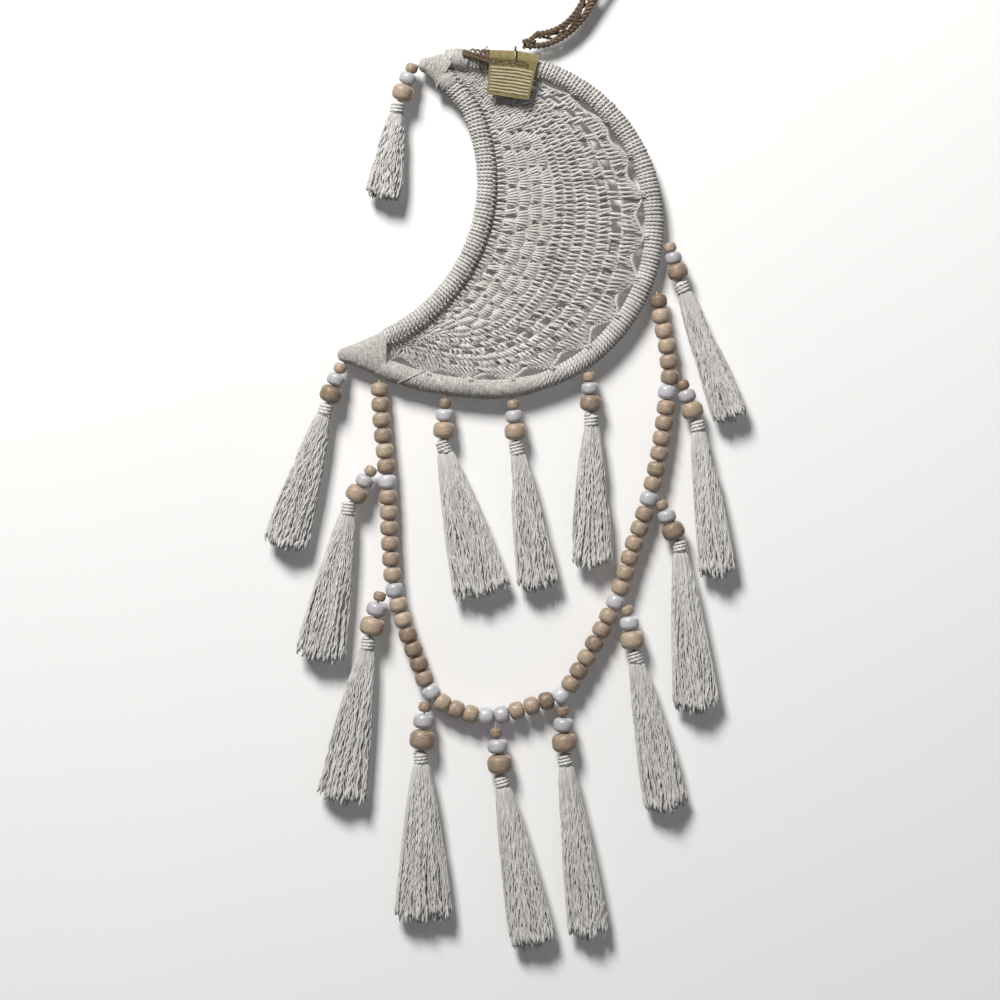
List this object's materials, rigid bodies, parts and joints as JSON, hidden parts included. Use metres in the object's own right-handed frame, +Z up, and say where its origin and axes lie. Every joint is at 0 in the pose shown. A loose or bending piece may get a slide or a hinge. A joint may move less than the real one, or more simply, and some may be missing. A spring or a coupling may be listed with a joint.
{
  "type": "dream catcher",
  "caption": "Wall-hung dream catcher: a cotton-wrapped crescent moon filled with crochet, with a slung garland of wooden beads and beaded cotton tassels.",
  "frame": {"origin": "on the back of the wrapped frame, at the top of the moon where the hanging cord is tied", "axes": "+Z up, +Y towards the wall, +X to the right as seen from the front; the front faces -Y"},
  "size_m": [0.3178, 0.0167, 0.6772],
  "materials": {
    "frame_wire": "bare drawn wire, hidden in the wrap",
    "cotton_wrap": "undyed two-ply cotton cord",
    "tip_wrap": "undyed cotton wound flat and close",
    "crochet": "undyed cotton crochet",
    "brown_cord": "twisted brown cord",
    "dark_thread": "dark thread",
    "kraft_card": "uncoated kraft card",
    "garland_thread": "waxed cotton thread",
    "natural_wood": "turned wood, lightly waxed",
    "white_wood": "turned wood, satin white paint",
    "tassel_beads": "turned wood: natural and satin white",
    "tassel_cotton": "loose unspun cotton strands"
  },
  "bodies": {
    "moon": {"moon_frame_wire": "frame_wire", "outer_arc_wrap": "cotton_wrap", "inner_arc_wrap": "cotton_wrap", "upper_tip_wrap": "tip_wrap", "lower_tip_wrap": "tip_wrap", "crochet_web": "crochet", "cord_tie": "brown_cord"},
    "hanging_loop": {"hanging_cord": "brown_cord"},
    "string": {"tag_string": "dark_thread"},
    "tag": {"swing_tag": "kraft_card"},
    "garland": {"beads_bottom_1": "natural_wood", "beads_bottom_2": "natural_wood", "beads_left_1": "natural_wood", "beads_left_2": "natural_wood", "beads_left_3": "natural_wood", "beads_right_1": "natural_wood", "beads_right_2": "natural_wood", "beads_right_3": "natural_wood", "beads_right_4": "natural_wood", "garland_cord": "garland_thread", "white_bead_1": "white_wood", "white_bead_2": "white_wood", "white_bead_3": "white_wood", "white_bead_4": "white_wood", "white_bead_5": "white_wood", "white_bead_6": "white_wood", "white_bead_7": "white_wood", "white_bead_8": "white_wood", "white_bead_9": "white_wood"},
    "tassel_01_head": {"tassel_01_beads": "tassel_beads"},
    "tassel_01_fall": {"tassel_01_skirt": "tassel_cotton"},
    "tassel_02_head": {"tassel_02_beads": "tassel_beads"},
    "tassel_02_fall": {"tassel_02_skirt": "tassel_cotton"},
    "tassel_03_head": {"tassel_03_beads": "tassel_beads"},
    "tassel_03_fall": {"tassel_03_skirt": "tassel_cotton"},
    "tassel_04_head": {"tassel_04_beads": "tassel_beads"},
    "tassel_04_fall": {"tassel_04_skirt": "tassel_cotton"},
    "tassel_05_head": {"tassel_05_beads": "tassel_beads"},
    "tassel_05_fall": {"tassel_05_skirt": "tassel_cotton"},
    "tassel_06_head": {"tassel_06_beads": "tassel_beads"},
    "tassel_06_fall": {"tassel_06_skirt": "tassel_cotton"},
    "tassel_07_head": {"tassel_07_beads": "tassel_beads"},
    "tassel_07_fall": {"tassel_07_skirt": "tassel_cotton"},
    "tassel_08_head": {"tassel_08_beads": "tassel_beads"},
    "tassel_08_fall": {"tassel_08_skirt": "tassel_cotton"},
    "tassel_09_head": {"tassel_09_beads": "tassel_beads"},
    "tassel_09_fall": {"tassel_09_skirt": "tassel_cotton"},
    "tassel_10_head": {"tassel_10_beads": "tassel_beads"},
    "tassel_10_fall": {"tassel_10_skirt": "tassel_cotton"},
    "tassel_11_head": {"tassel_11_beads": "tassel_beads"},
    "tassel_11_fall": {"tassel_11_skirt": "tassel_cotton"},
    "tassel_12_head": {"tassel_12_beads": "tassel_beads"},
    "tassel_12_fall": {"tassel_12_skirt": "tassel_cotton"},
    "tassel_13_head": {"tassel_13_beads": "tassel_beads"},
    "tassel_13_fall": {"tassel_13_skirt": "tassel_cotton"},
    "tassel_14_head": {"tassel_14_beads": "tassel_beads"},
    "tassel_14_fall": {"tassel_14_skirt": "tassel_cotton"}
  },
  "joints": [
    {"name": "hanging_cord_swing", "type": "hinge", "parent": "moon", "child": "hanging_loop", "pos_m": [0.001, -0.00628, 0.0128], "axis": [0, 1, 0], "range_deg": [-60, 20]},
    {"name": "tag_string_swing", "type": "hinge", "parent": "moon", "child": "string", "pos_m": [-0.0064, -0.0078, 0.0112], "axis": [0, 1, 0], "range_deg": [-25, 7.5]},
    {"name": "tag_lift", "type": "hinge", "parent": "string", "child": "tag", "pos_m": [-0.0064, -0.0146, 0.0041], "axis": [-1, 0, 0], "range_deg": [0, 10]},
    {"name": "garland_sway", "type": "hinge", "parent": "moon", "child": "garland", "pos_m": [-0.0964, -0.0066, -0.2078], "axis": [-0.9531, 0, -0.3026], "range_deg": [0, 60]},
    {"name": "tassel_01_swing", "type": "hinge", "parent": "moon", "child": "tassel_01_head", "pos_m": [-0.0747, -0.0077, -0.0018], "axis": [0, 1, 0], "range_deg": [-32.5, 40]},
    {"name": "tassel_01_lift", "type": "hinge", "parent": "tassel_01_head", "child": "tassel_01_fall", "pos_m": [-0.08407, -0.0077, -0.02754], "axis": [-0.9877, 0, 0.1564], "range_deg": [0, 60]},
    {"name": "tassel_02_swing", "type": "hinge", "parent": "moon", "child": "tassel_02_head", "pos_m": [-0.1221, -0.0077, -0.1998], "axis": [0, 1, 0], "range_deg": [-5, 40]},
    {"name": "tassel_02_lift", "type": "hinge", "parent": "tassel_02_head", "child": "tassel_02_fall", "pos_m": [-0.13138, -0.0077, -0.22674], "axis": [-0.9563, 0, 0.2924], "range_deg": [0, 60]},
    {"name": "tassel_03_swing", "type": "hinge", "parent": "moon", "child": "tassel_03_head", "pos_m": [-0.0528, -0.0077, -0.223], "axis": [0, 1, 0], "range_deg": [-2.5, 15]},
    {"name": "tassel_03_lift", "type": "hinge", "parent": "tassel_03_head", "child": "tassel_03_fall", "pos_m": [-0.05378, -0.0077, -0.25103], "axis": [-0.9659, 0, -0.2588], "range_deg": [0, 60]},
    {"name": "tassel_04_swing", "type": "hinge", "parent": "moon", "child": "tassel_04_head", "pos_m": [-0.0079, -0.0077, -0.2239], "axis": [0, 1, 0], "range_deg": [-5, 2.5]},
    {"name": "tassel_04_lift", "type": "hinge", "parent": "tassel_04_head", "child": "tassel_04_fall", "pos_m": [-0.00545, -0.0077, -0.25184], "axis": [-0.9877, 0, -0.1564], "range_deg": [0, 60]},
    {"name": "tassel_05_swing", "type": "hinge", "parent": "moon", "child": "tassel_05_head", "pos_m": [0.0424, -0.0077, -0.2056], "axis": [0, 1, 0], "range_deg": [-1, 5]},
    {"name": "tassel_05_lift", "type": "hinge", "parent": "tassel_05_head", "child": "tassel_05_fall", "pos_m": [0.04385, -0.0077, -0.23317], "axis": [-1, 0, 0], "range_deg": [0, 60]},
    {"name": "tassel_06_swing", "type": "hinge", "parent": "moon", "child": "tassel_06_head", "pos_m": [0.0958, -0.0077, -0.1201], "axis": [0, 1, 0], "range_deg": [-40, 0]},
    {"name": "tassel_06_lift", "type": "hinge", "parent": "tassel_06_head", "child": "tassel_06_fall", "pos_m": [0.10361, -0.0077, -0.14566], "axis": [-0.9367, 0, -0.3502], "range_deg": [0, 60]},
    {"name": "tassel_07_swing", "type": "hinge", "parent": "garland", "child": "tassel_07_head", "pos_m": [0.1043, -0.0077, -0.2108], "axis": [0, 1, 0], "range_deg": [-10, 2.5]},
    {"name": "tassel_07_lift", "type": "hinge", "parent": "tassel_07_head", "child": "tassel_07_fall", "pos_m": [0.11389, -0.0077, -0.23716], "axis": [-0.9903, 0, -0.1392], "range_deg": [0, 60]},
    {"name": "tassel_08_swing", "type": "hinge", "parent": "garland", "child": "tassel_08_head", "pos_m": [0.0903, -0.0077, -0.2902], "axis": [0, 1, 0], "range_deg": [-5, 2.5]},
    {"name": "tassel_08_lift", "type": "hinge", "parent": "tassel_08_head", "child": "tassel_08_fall", "pos_m": [0.10216, -0.0077, -0.31683], "axis": [-0.9945, 0, -0.1045], "range_deg": [0, 60]},
    {"name": "tassel_09_swing", "type": "hinge", "parent": "garland", "child": "tassel_09_head", "pos_m": [0.0674, -0.0077, -0.3596], "axis": [0, 1, 0], "range_deg": [-7.5, 17.5]},
    {"name": "tassel_09_lift", "type": "hinge", "parent": "tassel_09_head", "child": "tassel_09_fall", "pos_m": [0.07273, -0.0077, -0.38983], "axis": [-0.9781, 0, -0.2079], "range_deg": [0, 60]},
    {"name": "tassel_10_swing", "type": "hinge", "parent": "garland", "child": "tassel_10_head", "pos_m": [-0.1019, -0.0077, -0.2676], "axis": [0, 1, 0], "range_deg": [-2.5, 12.5]},
    {"name": "tassel_10_lift", "type": "hinge", "parent": "tassel_10_head", "child": "tassel_10_fall", "pos_m": [-0.11635, -0.0077, -0.29164], "axis": [-0.9816, 0, 0.1908], "range_deg": [0, 60]},
    {"name": "tassel_11_swing", "type": "hinge", "parent": "garland", "child": "tassel_11_head", "pos_m": [-0.0959, -0.0077, -0.3503], "axis": [0, 1, 0], "range_deg": [-12.5, 10]},
    {"name": "tassel_11_lift", "type": "hinge", "parent": "tassel_11_head", "child": "tassel_11_fall", "pos_m": [-0.10348, -0.0077, -0.38072], "axis": [-0.9848, 0, 0.1736], "range_deg": [0, 60]},
    {"name": "tassel_12_swing", "type": "hinge", "parent": "garland", "child": "tassel_12_head", "pos_m": [-0.0662, -0.0077, -0.4233], "axis": [0, 1, 0], "range_deg": [-15, 22.5]},
    {"name": "tassel_12_lift", "type": "hinge", "parent": "tassel_12_head", "child": "tassel_12_fall", "pos_m": [-0.0685, -0.0077, -0.45611], "axis": [-0.9998, 0, -0.0175], "range_deg": [0, 60]},
    {"name": "tassel_13_swing", "type": "hinge", "parent": "garland", "child": "tassel_13_head", "pos_m": [-0.0192, -0.0077, -0.4402], "axis": [0, 1, 0], "range_deg": [-2.5, 17.5]},
    {"name": "tassel_13_lift", "type": "hinge", "parent": "tassel_13_head", "child": "tassel_13_fall", "pos_m": [-0.01533, -0.0077, -0.47176], "axis": [-0.9816, 0, -0.1908], "range_deg": [0, 60]},
    {"name": "tassel_14_swing", "type": "hinge", "parent": "garland", "child": "tassel_14_head", "pos_m": [0.0248, -0.0077, -0.426], "axis": [0, 1, 0], "range_deg": [-27.5, 2.5]},
    {"name": "tassel_14_lift", "type": "hinge", "parent": "tassel_14_head", "child": "tassel_14_fall", "pos_m": [0.02646, -0.0077, -0.45775], "axis": [-0.9903, 0, -0.1392], "range_deg": [0, 60]}
  ]
}
